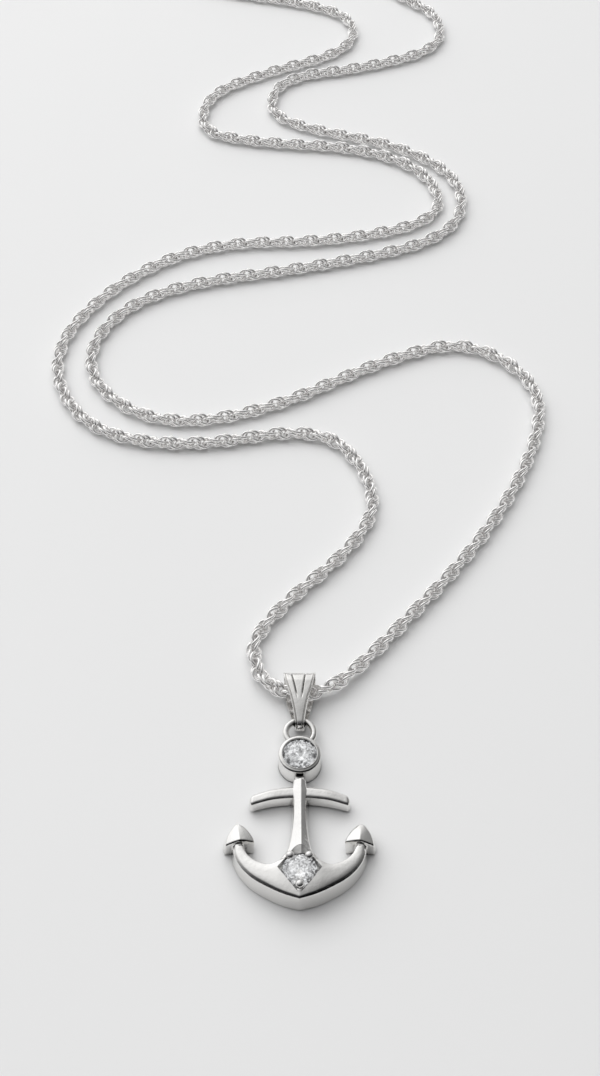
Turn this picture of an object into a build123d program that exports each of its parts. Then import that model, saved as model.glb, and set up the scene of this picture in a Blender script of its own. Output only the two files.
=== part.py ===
"""Anchor pendant on a rope chain, lying flat on a table.

Millimetres. +Z is up and the table is z = 0. +X is to the right of the anchor and +Y runs from
its crown tip towards the bail and the chain. The origin is on the anchor's flat back, under the
centre of the crown stone.
"""
from build123d import *
import math
import os

# Anchor casting
anchor_span = 14.8
arm_rise = 8.3
crown_tip_y = -3.27
crown_thickness = 3.1
back_trim = 0.5  # the sections start this far below the back, which is then cut flat
shank_foot_y = 0.9
shank_top_y = 10.4
shank_half_width = 0.66
shank_neck_height = 1.5
shank_neck_length = 0.69
stock_length = 10.2
stock_set_back = 1.4
stock_middle_width = 1.3
stock_end_width = 1.1
stock_bow = 1.0
stock_height = 2.0
stock_underside = 0.45
stock_edge_round = 0.36
stock_corner_share = 0.35
fluke_edge_height = 2.1
fluke_apex_height = 1.9
fluke_ridge_height = 2.9
fluke_side_bulge = 0.2
fluke_ridge_share = 0.52  # where the ridge meets the base, from the inner barb to the outer one
fluke_roof_reach = 1.6  # the roof facets run past the plan by this factor

# Crown setting: a kite-shaped pocket with three bead prongs
pocket_half_width = 2.18
pocket_tip_y = -2.7
pocket_arch_y = 2.3
pocket_corner_y = 0.06
pocket_shoulder_x = 0.98
pocket_shoulder_y = 1.7
pocket_floor = 0.9
arch_bevel_drop = 0.75
prong_radius = 0.27
prong_head_radius = 0.33
prong_set_down = 0.38
prong_angles = (58.0, 122.0, 270.0)

# Round brilliant stones
bezel_stone_diameter = 3.7
crown_stone_diameter = 3.5
crown_stone_y = -0.08
crown_stone_set_down = 0.25
table_share = 0.56
crown_angle = 34.0
pavilion_angle = 40.8
girdle_share = 0.035
star_share = 0.78
lower_half_share = 0.24
stone_gap = 0.08

# Bezel cup and its fixed loop
bezel_radius = 2.17
bezel_height = 2.5
bezel_lip = 0.14
bezel_lip_depth = 0.8
bezel_rim_bevel = 0.12
bezel_back_radius = 1.0
loop_wire = 0.66
loop_bore_radius = 1.07
loop_height = 1.25

# Bail
bail_thickness = 0.36
bail_top_half_width = 1.75
bail_foot_half_width = 0.46
bail_front_waist = 0.95
bail_back_waist = 1.42
bail_length = 6.8
bail_loop_gap = 0.19
bail_rope_gap = 0.24
bail_seat_drop = 0.82  # from the centre of the bail's top down to where the rope lies
bail_foot_set_back = 0.12
flute_depth = 0.16
flute_radius = 0.34
flute_top_x = 0.82
flute_foot_x = 0.34
bail_bead_radius = 0.3

# Rope chain and its clasp
rope_diameter = 1.75
table_clearance = 0.02
clasp_diameter = 3.0
clasp_length = 8.5
clasp_end_round = 0.6
socket_depth = 1.2
socket_gap = 0.1
corner_share = 0.45  # an arc of the route takes this share of its shorter run

half_span = anchor_span / 2
rope_radius = rope_diameter / 2
bezel_y = shank_top_y + shank_neck_length + bezel_radius
loop_y = bezel_y + bezel_radius + loop_bore_radius
loop_far_y = loop_y + loop_bore_radius + loop_wire / 2
crown_table_height = crown_thickness - crown_stone_set_down
prong_height = crown_thickness - prong_set_down

# The bail's side view is a teardrop: two circles and their tangents. The radii of its hollow and of
# its outside, at the top and at the foot, follow the rope and the loop that it holds.
bail_inner_top = rope_radius + bail_rope_gap
bail_inner_foot = loop_wire / 2 + bail_loop_gap
bail_outer_top = bail_inner_top + bail_thickness
bail_outer_foot = bail_inner_foot + bail_thickness
bail_foot_y = loop_far_y - bail_foot_set_back
bail_low_end_y = bail_foot_y - bail_outer_foot
bail_top_y = bail_low_end_y + bail_length - bail_outer_top
rope_seat_y = bail_top_y - bail_seat_drop

# How far the rope is lifted off the table inside the bail and inside the clasp
bail_lift = bail_outer_top - rope_radius - table_clearance
clasp_lift = clasp_diameter / 2 - rope_radius

# Sections of one arm, from the crown to the fluke. Across and up are shares of half the span and of
# the arm's rise, at the inner and the outer edge; edge and dome are shares of the crown's thickness.
arm_sections = (
    # inner across, inner up, outer across, outer up, edge, dome
    (0.000, 0.620, 0.000, 0.000, 0.87, 1.00),
    (0.255, 0.512, 0.212, 0.069, 0.86, 1.00),
    (0.405, 0.482, 0.414, 0.168, 0.81, 0.96),
    (0.534, 0.514, 0.625, 0.309, 0.74, 0.88),
    (0.649, 0.590, 0.778, 0.456, 0.68, 0.81),
    (0.712, 0.684, 0.872, 0.599, 0.65, 0.77),
    (0.726, 0.790, 0.914, 0.780, 0.62, 0.73),
)

# Sections of the shank, from its foot in the crown to the bezel. Along is a share of its length,
# half width a share of its waist, and edge and ridge are shares of the crown's thickness.
shank_sections = (
    # along, half width, edge, ridge
    (0.00, 3.10, 0.84, 1.00),
    (0.11, 2.06, 0.79, 0.97),
    (0.23, 1.58, 0.73, 0.90),
    (0.36, 1.32, 0.68, 0.84),
    (0.48, 1.12, 0.65, 0.81),
    (0.62, 1.00, 0.62, 0.78),
    (0.82, 0.97, 0.60, 0.76),
    (1.00, 0.95, 0.60, 0.74),
)

# Corners of one fluke in plan: across is a share of half the span, up a share of the arm's rise.
fluke_corners = {
    "apex": (0.842, 1.000),
    "outer barb": (1.000, 0.722),
    "inner barb": (0.622, 0.790),
}

# The chain's route: the left half from the clasp to the bail, and the right half back to the clasp.
# Along is measured from the rope's seat in the bail, and lift is the height above the rope's own
# place on the table.
left_route = (
    # across, along, lift
    (-14.5, 161.3, clasp_lift),
    (-20.8, 155.8, 0),
    (-20.0, 148.1, 0),
    (-13.0, 144.5, 0),
    (1.6, 140.8, 0),
    (9.2, 136.0, 0),
    (8.2, 126.4, 0),
    (-5.6, 120.0, 0),
    (-14.6, 113.8, 0),
    (-15.4, 104.0, 0),
    (-6.5, 101.2, 0),
    (10.2, 99.7, 0),
    (19.6, 93.2, 0),
    (20.7, 82.5, 0),
    (5.5, 77.5, 0),
    (-13.5, 77.2, 0),
    (-26.3, 67.6, 0),
    (-33.3, 53.8, 0),
    (-27.5, 40.4, 0),
    (-14.5, 37.0, 0),
    (2.5, 41.0, 0),
    (8.6, 33.2, 0),
    (8.8, 23.6, 0),
    (-5.3, 9.2, 0),
    (-4.9, 2.9, 0.45 * bail_lift),
    (-1.9, 0.0, bail_lift),
)
right_route = (
    # across, along, lift
    (3.0, 0.0, bail_lift),
    (8.8, 6.5, 0),
    (21.5, 22.0, 0),
    (29.4, 37.0, 0),
    (31.2, 48.6, 0),
    (22.5, 57.0, 0),
    (11.3, 53.3, 0),
    (-4.6, 43.3, 0),
    (-18.0, 41.0, 0),
    (-27.3, 48.6, 0),
    (-27.5, 58.6, 0),
    (-19.0, 67.8, 0),
    (4.5, 72.4, 0),
    (21.8, 78.4, 0),
    (24.6, 90.6, 0),
    (16.5, 100.0, 0),
    (-1.6, 105.6, 0),
    (-5.2, 111.2, 0),
    (-2.2, 118.8, 0),
    (10.6, 121.5, 0),
    (22.9, 127.0, 0),
    (23.4, 137.2, 0),
    (17.0, 143.1, 0),
    (10.8, 151.1, 0),
    (7.6, 158.6, 0),
    (2.5, 162.8, clasp_lift),
)


def polyhedron(faces):
    """A solid from flat faces, each given by its corners in order."""
    return Solid(Shell([Face(Wire.make_polygon([Vector(*p) for p in corners])) for corners in faces]))


def mirrored(shape):
    return shape.mirror(Plane.YZ)


def brilliant(diameter, girdle_z, spread=0.0):
    """A round brilliant: table, 8 stars, 8 kites, 16 upper halves, girdle, 16 lower halves, 8 mains.

    Spread moves every facet outwards by about that much, for the seat that the stone lies in.
    """
    radius = diameter / 2 + spread
    girdle = diameter * girdle_share / 2 + spread
    table = radius * table_share
    top = girdle_z + girdle + (radius - table) * math.tan(math.radians(crown_angle))
    culet = girdle_z - girdle - radius * math.tan(math.radians(pavilion_angle))

    def ring(r, z, count, shift=0.0):
        angles = [2 * math.pi * (i + shift) / count for i in range(count)]
        return [(r * math.cos(a), r * math.sin(a), z) for a in angles]

    flat = math.cos(math.pi / 8)
    star_z = top - (radius * star_share * flat - table) * math.tan(math.radians(crown_angle))
    lower = radius * lower_half_share
    lower_z = culet + lower * flat * math.tan(math.radians(pavilion_angle))
    tables = ring(table, top, 8)
    stars = ring(radius * star_share, star_z, 8, 0.5)
    upper = ring(radius, girdle_z + girdle, 16)
    under = ring(radius, girdle_z - girdle, 16)
    lowers = ring(lower, lower_z, 8, 0.5)
    tip = (0.0, 0.0, culet)
    faces = [tables]
    for i in range(8):
        near, far = 2 * i, (2 * i + 2) % 16
        faces.append([tables[i], stars[i], tables[(i + 1) % 8]])
        faces.append([tables[i], stars[i - 1], upper[near], stars[i]])
        faces.append([stars[i], upper[near], upper[near + 1]])
        faces.append([stars[i], upper[near + 1], upper[far]])
        faces.append([upper[near], under[near], under[near + 1], upper[near + 1]])
        faces.append([upper[near + 1], under[near + 1], under[far], upper[far]])
        faces.append([under[near], lowers[i], under[near + 1]])
        faces.append([under[near + 1], lowers[i], under[far]])
        faces.append([tip, lowers[i - 1], under[near], lowers[i]])
    return polyhedron(faces)


def girdle_height(diameter, table_z):
    """Height of the girdle's middle for a stone whose table is at table_z."""
    rise = diameter / 2 * (1 - table_share) * math.tan(math.radians(crown_angle))
    return table_z - rise - diameter * girdle_share / 2


def flat_backed(shape):
    """The shape above the table, cut flat where it rests."""
    return shape.split(Plane.XY, keep=Keep.TOP)


def arm():
    """The right arm: domed sections with upright walls on a flat back."""
    wires = []
    for inner_x, inner_y, outer_x, outer_y, edge, dome in arm_sections:
        a = Vector(inner_x * half_span, crown_tip_y + inner_y * arm_rise, -back_trim)
        b = Vector(outer_x * half_span, crown_tip_y + outer_y * arm_rise, -back_trim)
        up = Vector(0, 0, edge * crown_thickness + back_trim)
        crown = (a + b) * 0.5 + Vector(0, 0, dome * crown_thickness + back_trim)
        wires.append(
            Wire([
                Edge.make_line(a, b),
                Edge.make_line(b, b + up),
                Edge.make_three_point_arc(b + up, crown, a + up),
                Edge.make_line(a + up, a),
            ])
        )
    return flat_backed(Solid.make_loft(wires))


def shank():
    """The tapering shank with its ridge, and the low neck that joins it to the bezel."""
    length = shank_top_y - shank_foot_y
    wires = []
    for along, width, edge, ridge in shank_sections:
        y = shank_foot_y + along * length
        w = width * shank_half_width
        e = edge * crown_thickness
        r = ridge * crown_thickness
        low = -back_trim
        wires.append(Wire.make_polygon([(-w, y, low), (w, y, low), (w, y, e), (0, y, r), (-w, y, e)]))
    neck_end = bezel_y - bezel_radius + bezel_lip
    neck_width = 2 * shank_half_width * shank_sections[-1][1]
    neck_start = shank_top_y - shank_half_width
    neck = Pos(0, (neck_start + neck_end) / 2, shank_neck_height / 2) * Box(
        neck_width, neck_end - neck_start, shank_neck_height
    )
    return flat_backed(Solid.make_loft(wires)) + neck


def stock():
    """The bowed cross bar with rounded ends and a rounded top."""
    half = stock_length / 2
    middle_y = shank_top_y - stock_set_back
    top = middle_y + stock_middle_width / 2
    low = middle_y - stock_middle_width / 2
    end_top = top - stock_bow
    end_low = end_top - stock_end_width
    outline = Wire([
        Edge.make_three_point_arc((-half, end_top, 0), (0, top, 0), (half, end_top, 0)),
        Edge.make_line((half, end_top, 0), (half, end_low, 0)),
        Edge.make_three_point_arc((half, end_low, 0), (0, low, 0), (-half, end_low, 0)),
        Edge.make_line((-half, end_low, 0), (-half, end_top, 0)),
    ])
    face = Face(outline)
    face = face.fillet_2d(stock_end_width * stock_corner_share, face.vertices())
    bar = Pos(0, 0, stock_underside) * Solid.extrude(face, Vector(0, 0, stock_height - stock_underside))
    crest = bar.faces().sort_by(Axis.Z)[-1]
    return bar.fillet(stock_edge_round, crest.edges())


def fluke():
    """The right fluke: a spearhead with bulging sides under two roof facets that meet in a ridge."""

    def corner(name, z):
        across, up = fluke_corners[name]
        return Vector(across * half_span, crown_tip_y + up * arm_rise, z)

    apex = corner("apex", fluke_apex_height)
    outer = corner("outer barb", fluke_edge_height)
    inner = corner("inner barb", fluke_edge_height)
    middle = inner + (outer - inner) * fluke_ridge_share
    middle = Vector(middle.X, middle.Y, fluke_ridge_height)

    def flat(v):
        return Vector(v.X, v.Y, 0)

    def bulged(start, end):
        run = end - start
        side = Vector(-run.Y, run.X, 0).normalized() * fluke_side_bulge
        return Edge.make_three_point_arc(start, (start + end) * 0.5 + side, end)

    outline = Wire([
        bulged(flat(apex), flat(outer)),
        Edge.make_line(flat(outer), flat(inner)),
        bulged(flat(inner), flat(apex)),
    ])
    body = Solid.extrude(Face(outline), Vector(0, 0, crown_thickness))
    overrun = (apex - middle) * (fluke_roof_reach - 1)
    ridge = (apex + overrun, middle - overrun)
    outer_eave = [end + (outer - middle) * fluke_roof_reach for end in ridge]
    inner_eave = [end + (inner - middle) * fluke_roof_reach for end in ridge]
    gable, far_gable = ([outer_eave[i], ridge[i], inner_eave[i]] for i in (0, 1))
    foot, far_foot = ([flat(p) - Vector(0, 0, back_trim) for p in end] for end in (gable, far_gable))
    roof = polyhedron([
        [outer_eave[0], ridge[0], ridge[1], outer_eave[1]],
        [ridge[0], inner_eave[0], inner_eave[1], ridge[1]],
        foot[::-1] + far_foot,
        gable + foot[::-1],
        far_gable[::-1] + far_foot,
        [outer_eave[0], outer_eave[1], far_foot[0], foot[0]],
        [inner_eave[0], foot[2], far_foot[2], inner_eave[1]],
    ])
    return body & roof


def bezel_cup():
    """The round cup around the upper stone, closed to a small hole at the back."""
    cup = Pos(0, bezel_y, bezel_height / 2) * Cylinder(bezel_radius, bezel_height)
    rim = cup.edges().filter_by(GeomType.CIRCLE).sort_by(Axis.Z)[-1]
    return cup.chamfer(bezel_rim_bevel, None, [rim])


def bezel_bore():
    """What the stone's seat takes out of the cup: the mouth inside the lip and the hole behind."""
    stone_radius = bezel_stone_diameter / 2
    mouth = Pos(0, bezel_y, bezel_height) * Cylinder(stone_radius - bezel_lip, bezel_lip_depth)
    back = Pos(0, bezel_y, 0) * Cylinder(bezel_back_radius, bezel_height)
    z = girdle_height(bezel_stone_diameter, bezel_height)
    seat = Pos(0, bezel_y, 0) * brilliant(bezel_stone_diameter, z, stone_gap)
    return mouth + back + seat


def loop():
    """The fixed loop behind the bezel, a ring of round wire that lies flat."""
    wire = loop_wire / 2
    return Pos(0, loop_y, loop_height) * Torus(loop_bore_radius + wire, wire)


def pocket():
    """The kite-shaped pocket under the crown stone, with the bevelled arch at its top."""
    right, left = [(side * pocket_shoulder_x, pocket_shoulder_y, 0) for side in (1, -1)]
    points = [
        (0, pocket_tip_y, 0),
        (pocket_half_width, pocket_corner_y, 0),
        right,
        left,
        (-pocket_half_width, pocket_corner_y, 0),
    ]
    kite = Solid.extrude(Face(Wire.make_polygon(points)), Vector(0, 0, crown_thickness))
    kite = Pos(0, 0, pocket_floor) * kite
    curve = Edge.make_three_point_arc(right, (0, pocket_arch_y, 0), left)
    arch = Face(Wire([curve, Edge.make_line(left, right)]))
    above = 2 * crown_thickness
    slope = (arch_bevel_drop / (pocket_arch_y - pocket_shoulder_y)) * (pocket_arch_y - pocket_corner_y)
    wedge = [
        (0, pocket_arch_y, crown_thickness),
        (0, pocket_arch_y, above),
        (0, pocket_corner_y, above),
        (0, pocket_corner_y, crown_thickness - slope),
    ]
    bevel = Solid.extrude(Face(Wire.make_polygon(wedge)), Vector(2 * pocket_half_width, 0, 0))
    bevel = Pos(-pocket_half_width, 0, 0) * bevel
    return kite + (Solid.extrude(arch, Vector(0, 0, above)) & bevel)


def prongs():
    """Three bead prongs that hold the crown stone at its girdle."""
    reach = crown_stone_diameter / 2 + stone_gap
    shapes = []
    for angle in prong_angles:
        x = reach * math.cos(math.radians(angle))
        y = crown_stone_y + reach * math.sin(math.radians(angle))
        height = prong_height - pocket_floor
        shapes.append(Pos(x, y, pocket_floor + height / 2) * Cylinder(prong_radius, height))
        shapes.append(Pos(x, y, prong_height) * Sphere(prong_head_radius))
    return shapes


def anchor():
    """The whole casting as one solid, with both stones' seats cut out of it."""
    right_arm = arm()
    right_fluke = fluke()
    body = right_arm + mirrored(right_arm) + right_fluke + mirrored(right_fluke)
    body = body + shank() + stock() + bezel_cup() + loop()
    body = body - bezel_bore() - pocket()
    for shape in prongs():
        body = body + shape
    z = girdle_height(crown_stone_diameter, crown_table_height)
    seat = Pos(0, crown_stone_y, 0) * brilliant(crown_stone_diameter, z, stone_gap)
    return body - seat


def teardrop(top_radius, foot_radius):
    """The bail's side view around its two centres, from tangent arcs."""
    top = Vector(0, bail_top_y, bail_outer_top)
    foot = Vector(0, bail_foot_y, loop_height)
    run = top - foot
    lean = math.asin((top_radius - foot_radius) / run.length)
    tilt = math.atan2(run.Z, run.Y)

    def at(centre, radius, angle):
        return centre + Vector(0, math.cos(angle), math.sin(angle)) * radius

    front = tilt + math.pi / 2 + lean
    back = tilt - math.pi / 2 - lean
    return Face(Wire([
        Edge.make_three_point_arc(
            at(top, top_radius, front), at(top, top_radius, tilt), at(top, top_radius, back)
        ),
        Edge.make_line(at(top, top_radius, back), at(foot, foot_radius, back)),
        Edge.make_three_point_arc(
            at(foot, foot_radius, back), at(foot, foot_radius, tilt + math.pi), at(foot, foot_radius, front)
        ),
        Edge.make_line(at(foot, foot_radius, front), at(top, top_radius, front)),
    ]))


def bail_outline(waist, low, high):
    """The bail's outline from above, as wide as waist at half height, from low to high."""
    half = bail_top_half_width
    foot = bail_foot_half_width
    top_y = bail_top_y + bail_outer_top
    middle_y = (bail_low_end_y + bail_top_y) / 2
    right = Edge.make_three_point_arc(
        (foot, bail_low_end_y, low), (waist, middle_y, low), (half, bail_top_y, low)
    )
    left = Edge.make_three_point_arc(
        (-half, bail_top_y, low), (-waist, middle_y, low), (-foot, bail_low_end_y, low)
    )
    corners = [right @ 1, Vector(half, top_y, low), Vector(-half, top_y, low), left @ 0]
    sides = [Edge.make_line(a, b) for a, b in zip(corners, corners[1:])]
    shape = Wire([right] + sides + [left, Edge.make_line(left @ 1, right @ 0)])
    return Solid.extrude(Face(shape), Vector(0, 0, high - low))


def bail():
    """A tapering strip folded round the rope and the anchor's loop, closed by a bead at its foot."""
    half = bail_top_half_width
    width = Vector(2 * half, 0, 0)
    ring = Solid.extrude(teardrop(bail_outer_top, bail_outer_foot), width)
    hollow = Solid.extrude(teardrop(bail_inner_top, bail_inner_foot), width)
    ring = Pos(-half, 0, 0) * (ring - hollow)
    above = 2 * bail_outer_top + bail_thickness
    back_leg = ring & bail_outline(bail_back_waist, -bail_thickness, bail_outer_top)
    front_leg = ring & bail_outline(bail_front_waist, bail_outer_top, above)
    strip = back_leg + front_leg
    low_end = (Align.CENTER, Align.CENTER, Align.MIN)
    for side in (-1, 1):
        top_z = 2 * bail_outer_top + flute_radius - flute_depth
        foot_z = loop_height + bail_outer_foot + flute_radius + flute_depth
        start = Vector(side * flute_top_x, bail_top_y + bail_outer_top, top_z)
        end = Vector(side * flute_foot_x, bail_foot_y, foot_z)
        line = Plane(origin=start, z_dir=end - start)
        strip = strip - line * Cylinder(flute_radius, (end - start).length, align=low_end)
    return strip + Pos(0, bail_low_end_y, loop_height + bail_bead_radius) * Sphere(bail_bead_radius)


def turn_angle(a, b, c):
    return math.radians((b - a).get_angle(c - b))


def rope_points(route):
    """A route's points in space."""
    low = rope_radius + table_clearance
    return [Vector(across, rope_seat_y + along, low + lift) for across, along, lift in route]


def rope_radii(points):
    """The arc at each inner point, as large as its two runs allow."""
    radii = []
    for a, b, c in zip(points, points[1:], points[2:]):
        shorter = min((b - a).length, (c - b).length)
        radii.append(corner_share * shorter / math.tan(turn_angle(a, b, c) / 2))
    return radii


def rope_tube(points, radii, name):
    """A round tube along straight runs joined by tangent arcs."""
    path = FilletPolyline(*points, radius=radii)
    start = Plane(origin=path @ 0, z_dir=path % 0)
    section = start * Circle(rope_radius)
    tube = sweep(section, path=path)
    expected = math.pi * rope_radius**2 * path.length
    print(name, "length", round(path.length, 1), "volume", round(tube.volume, 1), "of", round(expected, 1))
    print(name, "radii", [round(r, 1) for r in radii])
    return tube, path.length


def rope_chains():
    """The left and the right half of the chain, which meet face to face inside the bail."""
    left, right = rope_points(left_route), rope_points(right_route)
    clasp_axis = clasp_line()
    entry = socket_depth - socket_gap
    left_end = clasp_axis @ 1 + (clasp_axis @ 0 - clasp_axis @ 1).normalized() * entry
    right_end = clasp_axis @ 0 + (clasp_axis @ 1 - clasp_axis @ 0).normalized() * entry
    radii = rope_radii([left_end] + left + right + [right_end])
    count = len(left)
    seam = (left[-1] + right[0]) * 0.5
    left_tube, left_length = rope_tube([left_end] + left + [seam], radii[:count], "rope_chain_left")
    right_tube, right_length = rope_tube([seam] + right + [right_end], radii[count:], "rope_chain_right")
    print("chain length with clasp", round(left_length + right_length + clasp_length - 2 * entry, 1))
    return left_tube, right_tube


def clasp_line():
    """The clasp's axis, on the run that closes the loop, from the right strand to the left one."""
    start = rope_points(right_route)[-1]
    end = rope_points(left_route)[0]
    middle = (start + end) * 0.5
    half = (end - start).normalized() * (clasp_length / 2)
    return Edge.make_line(middle - half, middle + half)


def clasp():
    """A plain barrel clasp with a socket for the rope in each end."""
    line = clasp_line()
    base = Plane(origin=line @ 0, z_dir=line % 0)
    low = (Align.CENTER, Align.CENTER, Align.MIN)
    barrel = Cylinder(clasp_diameter / 2, clasp_length, align=low)
    barrel = barrel.fillet(clasp_end_round, barrel.edges().filter_by(GeomType.CIRCLE))
    bore = rope_radius + socket_gap
    near = Cylinder(bore, socket_depth, align=low)
    far = Pos(0, 0, clasp_length - socket_depth) * near
    return base * (barrel - near - far)


os.makedirs("parts", exist_ok=True)
rope_left, rope_right = rope_chains()
bezel_z = girdle_height(bezel_stone_diameter, bezel_height)
crown_z = girdle_height(crown_stone_diameter, crown_table_height)
parts = {
    "anchor": anchor(),
    "bezel_stone": Pos(0, bezel_y, 0) * brilliant(bezel_stone_diameter, bezel_z),
    "crown_stone": Pos(0, crown_stone_y, 0) * brilliant(crown_stone_diameter, crown_z),
    "bail": bail(),
    "rope_chain_left": rope_left,
    "rope_chain_right": rope_right,
    "clasp": clasp(),
}
for name, shape in parts.items():
    export_step(shape, f"parts/{name}.step")
    print(name, len(shape.solids()), "solid", round(shape.volume, 3), "mm3")
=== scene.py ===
# Anchor pendant on a rope chain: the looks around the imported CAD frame, in the frame's own coordinates.
# The settings are in millimetres, and each mesh is scaled to metres once it is built.
import math

import bmesh
import bpy
import numpy as np
from mathutils import Matrix, Vector


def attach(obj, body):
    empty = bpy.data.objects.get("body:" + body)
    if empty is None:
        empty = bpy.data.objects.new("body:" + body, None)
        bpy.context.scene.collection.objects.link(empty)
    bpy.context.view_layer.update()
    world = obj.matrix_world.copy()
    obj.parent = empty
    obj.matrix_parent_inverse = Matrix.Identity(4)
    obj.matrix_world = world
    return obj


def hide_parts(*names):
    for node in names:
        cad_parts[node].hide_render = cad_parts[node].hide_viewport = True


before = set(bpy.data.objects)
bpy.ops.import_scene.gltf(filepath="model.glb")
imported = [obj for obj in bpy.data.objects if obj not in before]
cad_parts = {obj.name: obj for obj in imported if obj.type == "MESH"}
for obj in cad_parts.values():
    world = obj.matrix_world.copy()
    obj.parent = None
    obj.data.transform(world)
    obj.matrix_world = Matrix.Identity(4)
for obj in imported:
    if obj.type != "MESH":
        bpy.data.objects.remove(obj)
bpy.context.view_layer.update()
scene = bpy.context.scene
mm = 0.001
print("frame loaded")

shot = {
    "place": (0.03, -69.98, 135.39),  # the camera looks down over the pendant's near side
    "pitch": 40.24,
    "lens": 50.0,
    "sensor": 36.0,
    "near": 10.0,  # the nearest and the farthest that it sees
    "far": 20000.0,
}
cameraData = bpy.data.cameras.new("photo_camera")
cameraData.lens = shot["lens"]
cameraData.sensor_width = shot["sensor"]
cameraData.clip_start = shot["near"] * mm
cameraData.clip_end = shot["far"] * mm
camera = bpy.data.objects.new("photo_camera", cameraData)
camera.location = Vector(shot["place"]) * mm
camera.rotation_euler = (math.radians(shot["pitch"]), 0, 0)
scene.collection.objects.link(camera)
scene.camera = camera


def linear(code):  # an sRGB hex colour as the linear colour that a shader takes
    parts = [int(code[i:i + 2], 16) / 255 for i in (1, 3, 5)]
    return tuple(c / 12.92 if c < 0.04045 else ((c + 0.055) / 1.055) ** 2.4 for c in parts) + (1,)


def addNode(owner, kind, settings={}, links={}):  # the owner is a material or the world
    node = owner.node_tree.nodes.new("ShaderNode" + kind)
    for key, value in settings.items():
        if isinstance(key, int) or key in node.inputs:
            node.inputs[key].default_value = value
        else:
            setattr(node, key, value)
    for key, source in links.items():
        owner.node_tree.links.new(source, node.inputs[key])
    return node


def newMaterial(name):
    material = bpy.data.materials.new(name)
    material.use_nodes = True
    material.node_tree.nodes.clear()
    return material


def finishMaterial(material, shader):
    addNode(material, "OutputMaterial", {}, {"Surface": shader.outputs[0]})
    return material


noiseSpan = {"From Min": 0.3, "From Max": 0.7}  # most of a noise texture's values lie between these


# Polished silver: a bright mirror with a faint orange-peel ripple and fine wiping marks, and grey tarnish
# with painted shade where the polishing wheel didn't reach: ambient occlusion paints the hollows darker than
# tarnish alone would be.
def polishedSilver(name, look):
    material = newMaterial(name)
    place = addNode(material, "TexCoord").outputs["Object"]
    ripple = addNode(
        material, "TexNoise", {"Scale": 1 / (look["ripple"] * mm), "Detail": 4.0}, {"Vector": place}
    )
    marks = addNode(
        material, "TexNoise", {"Scale": 1 / (look["marks"] * mm), "Detail": 4.0}, {"Vector": place}
    )
    gloss = addNode(
        material, "MapRange", {**noiseSpan, "To Min": look["smooth"], "To Max": look["rough"]},
        {"Value": marks.outputs[0]},
    )
    # tarnish and painted shade: ambient occlusion paints the hollows dark
    hollow = addNode(material, "AmbientOcclusion", {"Distance": look["reach"] * mm, "samples": 12})
    tarnishShadeMask = addNode(
        material, "MapRange",
        {"From Min": look["deep"], "From Max": look["bare"], "To Min": 1.0, "To Max": 0.0},
        {"Value": hollow.outputs["AO"]},
    )
    tone = addNode(
        material, "Mix", {"data_type": "RGBA", 6: linear(look["colour"]), 7: linear(look["tarnishAndShade"])},
        {0: tarnishShadeMask.outputs[0]},
    )
    bump = addNode(
        material, "Bump", {"Strength": look["bump"], "Distance": look["relief"] * mm},
        {"Height": ripple.outputs[0]},
    )
    shader = addNode(
        material, "BsdfPrincipled", {"Metallic": 1.0},
        {"Base Color": tone.outputs[2], "Roughness": gloss.outputs[0], "Normal": bump.outputs[0]},
    )
    return finishMaterial(material, shader)


# Drawn wire, tumbled bright: the outside of each link shines, and the inside of the rope is painted darker,
# partly tarnish and partly painted shade between the links.
def wireSilver(name, look):
    material = newMaterial(name)
    place = addNode(material, "TexCoord").outputs["Object"]
    depth = addNode(material, "Attribute", {"attribute_name": "depth"}).outputs["Fac"]
    marks = addNode(
        material, "TexNoise", {"Scale": 1 / (look["marks"] * mm), "Detail": 3.0}, {"Vector": place}
    )
    # tarnish and painted shade darken the rope towards its middle line
    shade = addNode(
        material, "MapRange",
        {"From Min": look["deep"], "From Max": look["bare"], "To Min": 1.0, "To Max": 0.0},
        {"Value": depth},
    )
    tone = addNode(
        material, "Mix", {"data_type": "RGBA", 6: linear(look["colour"]), 7: linear(look["tarnishAndShade"])},
        {0: shade.outputs[0]},
    )
    gloss = addNode(
        material, "MapRange", {**noiseSpan, "To Min": look["smooth"], "To Max": look["rough"]},
        {"Value": marks.outputs[0]},
    )
    shader = addNode(
        material, "BsdfPrincipled", {"Metallic": 1.0, "Emission Strength": look["haze"]},
        {"Base Color": tone.outputs[2], "Roughness": gloss.outputs[0], "Emission Color": tone.outputs[2]},
    )
    return finishMaterial(material, shader)


# Clear cubic zirconia: it bends light hard. Towards the rim the facets' sparkle is painted in as fine chips,
# some painted dark and some painted bright, and the whole stone has a faint painted glow, stronger on the
# bright chips.
def clearStone(name, look):
    material = newMaterial(name)
    place = addNode(material, "TexCoord").outputs["Object"]
    rim = addNode(material, "Attribute", {"attribute_name": "rim"}).outputs["Fac"]
    # painted sparkle: chips painted dark or bright near the rim, and a painted glow
    patches = addNode(material, "TexVoronoi", {"Scale": 1 / (look["paintedChip"] * mm)}, {"Vector": place})
    paintedFlash = addNode(
        material, "MapRange", {"From Min": look["dull"], "From Max": look["bright"]},
        {"Value": patches.outputs["Color"]},
    )
    paintedChips = addNode(
        material, "Mix", {"data_type": "RGBA", 6: linear(look["dark"]), 7: linear(look["colour"])},
        {0: paintedFlash.outputs[0]},
    )
    tone = addNode(
        material, "Mix", {"data_type": "RGBA", 6: linear(look["colour"])}, {0: rim, 7: paintedChips.outputs[2]}
    )
    paintedGlow = addNode(
        material, "MapRange", {"To Min": look["paintedGlow"], "To Max": look["paintedSpark"]}, {"Value": paintedFlash.outputs[0]}
    )
    shader = addNode(
        material, "BsdfPrincipled",
        {"Transmission Weight": 1.0, "IOR": look["ior"], "Roughness": look["roughness"]},
        {
            "Base Color": tone.outputs[2],
            "Emission Color": tone.outputs[2],
            "Emission Strength": paintedGlow.outputs[0],
        },
    )
    return finishMaterial(material, shader)


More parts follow.
